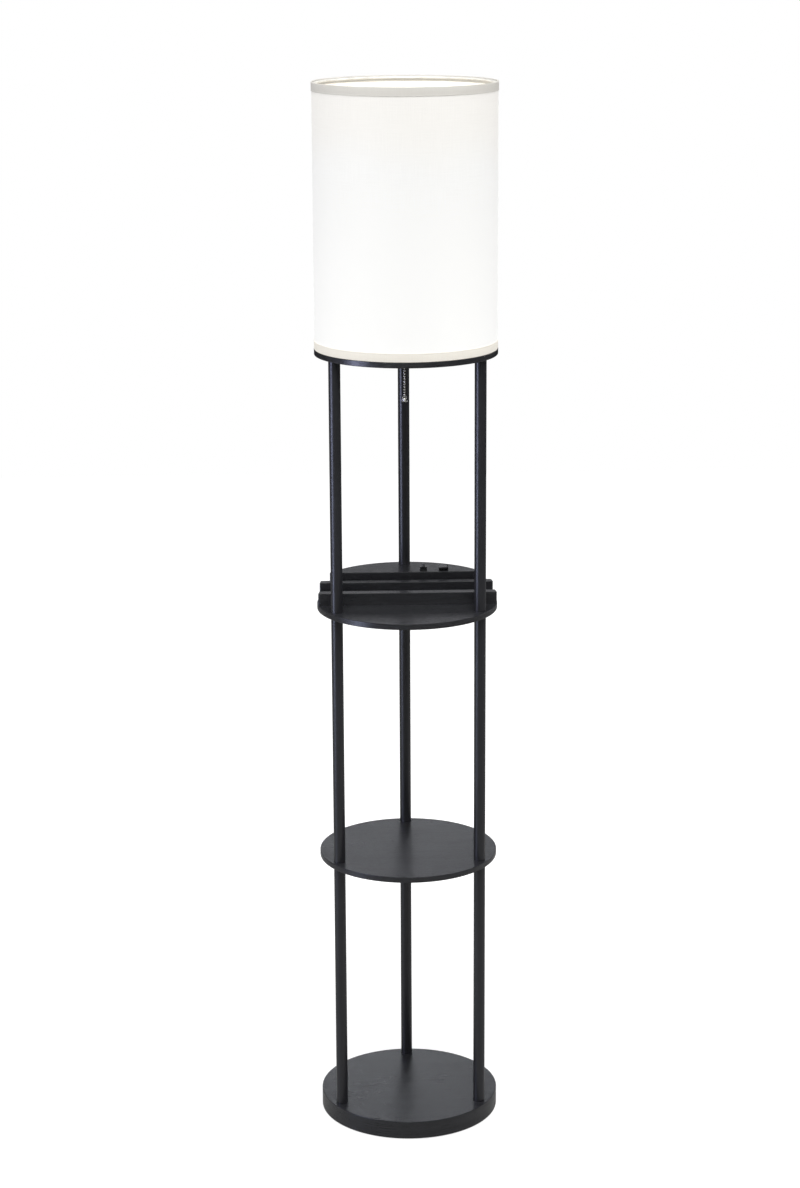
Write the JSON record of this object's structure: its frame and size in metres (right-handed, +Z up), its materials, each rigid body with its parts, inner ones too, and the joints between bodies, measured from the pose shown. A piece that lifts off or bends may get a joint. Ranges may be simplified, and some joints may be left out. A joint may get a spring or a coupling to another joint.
{
  "type": "shelf floor lamp",
  "caption": "Round shelf floor lamp on three posts with a device rack and charger in its upper shelf and a pull-chain lamp in a drum shade.",
  "frame": {"origin": "on the floor under the centre of the base", "axes": "+Z up along the lamp's axis, -Y to the front of the device rack, +X to the right seen from the front"},
  "size_m": [0.2566, 0.2566, 1.489],
  "materials": {
    "black_board": "satin wood-grain wrap",
    "black_housing": "satin wood-grain wrap",
    "post_black": "satin black",
    "zinc_steel": "zinc plated",
    "ballast_steel": "bare",
    "felt": "felt",
    "nickel": "bright nickel",
    "brass": "bright",
    "phenolic": "moulded",
    "insulator": "unglazed",
    "circuit_green": "lacquered",
    "transformer_wrap": "taped",
    "port_black": "gloss",
    "port_tongue": "moulded",
    "button_black": "gloss",
    "spring_steel": "bright",
    "gland_rubber": "moulded",
    "lead_pvc": "smooth",
    "frame_white": "satin white",
    "shade_fabric": "plain weave on a stiff liner",
    "shade_trim": "folded tape",
    "bulb_white": "satin",
    "bulb_frost": "frosted",
    "bulb_cap": "bright"
  },
  "bodies": {
    "lamp": {"base_disc": "black_board", "middle_shelf": "black_board", "charging_shelf": "black_board", "top_plate": "black_board", "front_rack_bar": "black_board", "middle_rack_bar": "black_board", "charger_housing": "black_housing", "post_lower_left": "post_black", "post_lower_rear": "post_black", "post_lower_right": "post_black", "post_middle_left": "post_black", "post_middle_rear": "post_black", "post_middle_right": "post_black", "post_upper_left": "post_black", "post_upper_rear": "post_black", "post_upper_right": "post_black", "post_end_plugs": "zinc_steel", "lead_post_plug": "zinc_steel", "shelf_studs": "zinc_steel", "base_screws": "zinc_steel", "top_plate_screws": "zinc_steel", "threaded_nipples": "zinc_steel", "nipple_nuts": "zinc_steel", "rack_screws": "zinc_steel", "housing_screws": "zinc_steel", "lever_pin": "zinc_steel", "base_ballast": "ballast_steel", "base_pad": "felt", "chain_eyelet": "nickel", "socket_cap": "brass", "socket_shell": "brass", "chain_hood": "brass", "socket_screw_shell": "brass", "socket_contact": "brass", "shade_ring_nut": "phenolic", "socket_insulator": "insulator", "charger_board": "circuit_green", "charger_transformer": "transformer_wrap", "usb_port_shell": "port_black", "charge_switch_body": "port_black", "usb_port_tongue": "port_tongue", "button_spring": "spring_steel", "lever_spring": "spring_steel", "cord_gland": "gland_rubber", "lamp_lead": "lead_pvc", "shade_top_ring": "frame_white", "shade_bottom_frame": "frame_white", "shade_drum": "shade_fabric", "shade_top_trim": "shade_trim", "shade_bottom_trim": "shade_trim", "bulb_housing": "bulb_white", "bulb_dome": "bulb_frost", "bulb_screw_cap": "bulb_cap", "bulb_led_board": "circuit_green"},
    "pull_chain": {"pull_chain_upper": "nickel"},
    "switch_lever": {"switch_lever": "brass"},
    "chain_swivel": {"pull_chain_swivel_bead": "nickel"},
    "chain_drop": {"pull_chain_lower": "nickel", "bell_pull": "nickel"},
    "charge_button": {"charge_button": "button_black"}
  },
  "joints": [
    {"name": "chain_pull", "type": "slide", "parent": "lamp", "child": "pull_chain", "axis": [0, 0, -1], "range_m": [0, 0.008], "stiffness_N_per_m": 600, "springref_m": -0.002},
    {"name": "switch_tip", "type": "hinge", "parent": "lamp", "child": "switch_lever", "pos_m": [-0.00089, -0.00593, 1.1555], "axis": [0.989, -0.1478, 0], "range_deg": [0, 32.8]},
    {"name": "chain_swing_sideways", "type": "hinge", "parent": "pull_chain", "child": "chain_swivel", "pos_m": [-0.00299, -0.01998, 1.1168], "axis": [0, 1, 0], "range_deg": [-45, 45]},
    {"name": "chain_swing_forward", "type": "hinge", "parent": "chain_swivel", "child": "chain_drop", "pos_m": [-0.00299, -0.01998, 1.1168], "axis": [1, 0, 0], "range_deg": [-45, 45]},
    {"name": "button_press", "type": "slide", "parent": "lamp", "child": "charge_button", "axis": [0, 0, -1], "range_m": [0, 0.0015], "stiffness_N_per_m": 400, "springref_m": -0.001, "deforming": ["button_spring"]}
  ],
  "couplings": [
    {"joint": "switch_tip", "follows": "chain_pull", "rad_per_m": 71.389}
  ]
}
